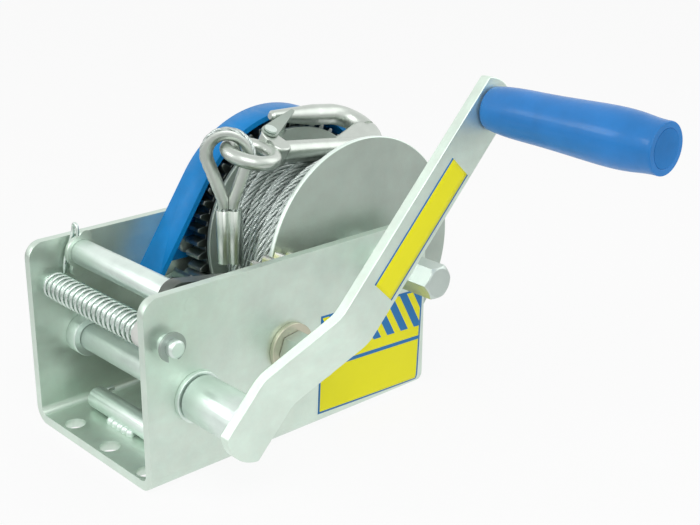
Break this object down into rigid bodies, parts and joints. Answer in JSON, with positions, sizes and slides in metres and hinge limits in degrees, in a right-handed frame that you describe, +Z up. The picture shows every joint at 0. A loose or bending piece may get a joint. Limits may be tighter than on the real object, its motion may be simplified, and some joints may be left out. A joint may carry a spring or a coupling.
{
  "type": "trailer winch",
  "caption": "Hand-cranked trailer winch: folded channel frame, two-step spur gear train, flanged rope drum under a plastic gear guard, sprung pawl, wire rope with snap hook.",
  "frame": {"origin": "middle of the base's underside", "axes": "+X to the rear of the frame, +Y to the geared side away from the crank, +Z up from the base"},
  "size_m": [0.2266, 0.2806, 0.195],
  "materials": {
    "zinc_plate": "satin zinc plating",
    "turned_steel": "zinc-plated turned steel",
    "yellow_zinc": "yellowish zinc plating",
    "gear_steel": "dark steel, bright at the tooth tips",
    "rope_steel": "galvanised wire rope",
    "forged_steel": "galvanised forging",
    "spring_steel": "plated spring wire",
    "guard_plastic": "blue moulded plastic",
    "grip_plastic": "blue moulded plastic",
    "cap_plastic": "darker blue plastic",
    "collar_plastic": "white nylon"
  },
  "bodies": {
    "frame": {"frame": "zinc_plate", "gear_guard": "guard_plastic", "guard_screws": "turned_steel", "drum_near_bush": "turned_steel", "drum_far_bush": "turned_steel", "reduction_near_bush": "turned_steel", "reduction_far_bush": "turned_steel", "input_near_bush": "turned_steel", "input_far_bush": "turned_steel", "pawl_pin": "turned_steel", "pawl_spring": "spring_steel", "spring_pin": "turned_steel", "spring_collar": "collar_plastic", "spring_ring": "spring_steel", "lower_stay": "turned_steel", "stay_foot": "turned_steel", "rope_tail": "rope_steel", "rope_loop": "rope_steel", "rope_ferrule": "forged_steel", "thimble": "forged_steel"},
    "drum": {"drum_shaft": "turned_steel", "drum_circlip": "spring_steel", "drum_near_spacer": "turned_steel", "drum_near_flange": "zinc_plate", "drum_barrel": "zinc_plate", "drum_far_flange": "zinc_plate", "drum_gear_spacer": "turned_steel", "drum_gear": "gear_steel", "rope_near_pile": "rope_steel", "rope_valley": "rope_steel", "rope_far_pile": "rope_steel"},
    "reduction": {"reduction_shaft": "turned_steel", "reduction_circlip": "spring_steel", "reduction_gear": "yellow_zinc", "drum_pinion": "gear_steel"},
    "crank": {"input_shaft": "turned_steel", "input_circlip": "spring_steel", "input_pinion": "gear_steel", "crank_hub": "turned_steel", "crank_arm": "zinc_plate", "grip_spindle": "turned_steel"},
    "grip": {"grip": "grip_plastic", "grip_cap": "cap_plastic"},
    "pawl": {"pawl_sleeve": "turned_steel", "pawl_finger": "zinc_plate", "pawl_lever": "zinc_plate"},
    "hook": {"snap_hook": "forged_steel", "latch_rivet": "turned_steel"},
    "latch": {"hook_latch": "spring_steel"}
  },
  "joints": [
    {"name": "crank_turn", "type": "hinge", "parent": "frame", "child": "crank", "pos_m": [-0.065, 0, 0.0452], "axis": [0, 1, 0], "continuous": true},
    {"name": "reduction_turn", "type": "hinge", "parent": "frame", "child": "reduction", "pos_m": [-0.00563, 0, 0.05386], "axis": [0, 1, 0], "continuous": true},
    {"name": "drum_turn", "type": "hinge", "parent": "frame", "child": "drum", "pos_m": [0.06346, 0, 0.08305], "axis": [0, 1, 0], "continuous": true},
    {"name": "grip_spin", "type": "hinge", "parent": "crank", "child": "grip", "pos_m": [0.06629, -0.17, 0.18116], "axis": [0, 1, 0], "continuous": true},
    {"name": "pawl_lift", "type": "hinge", "parent": "frame", "child": "pawl", "pos_m": [-0.0663, 0, 0.0938], "axis": [0, -1, 0], "range_deg": [0, 30], "stiffness_Nm_per_rad": 0.06, "springref_deg": -28.65, "deforming": ["pawl_spring"]},
    {"name": "hook_lift", "type": "hinge", "parent": "frame", "child": "hook", "pos_m": [0.0083, -0.0081, 0.1449], "axis": [0, -1, 0], "range_deg": [0, 35]},
    {"name": "latch_open", "type": "hinge", "parent": "hook", "child": "latch", "pos_m": [0.02537, 0.00076, 0.14663], "axis": [-0.1192, 0.4067, -0.9057], "range_deg": [0, 30], "stiffness_Nm_per_rad": 0.05, "springref_deg": -34.38}
  ],
  "couplings": [
    {"joint": "reduction_turn", "follows": "crank_turn", "ratio": -0.33333},
    {"joint": "drum_turn", "follows": "crank_turn", "ratio": 0.066667}
  ]
}
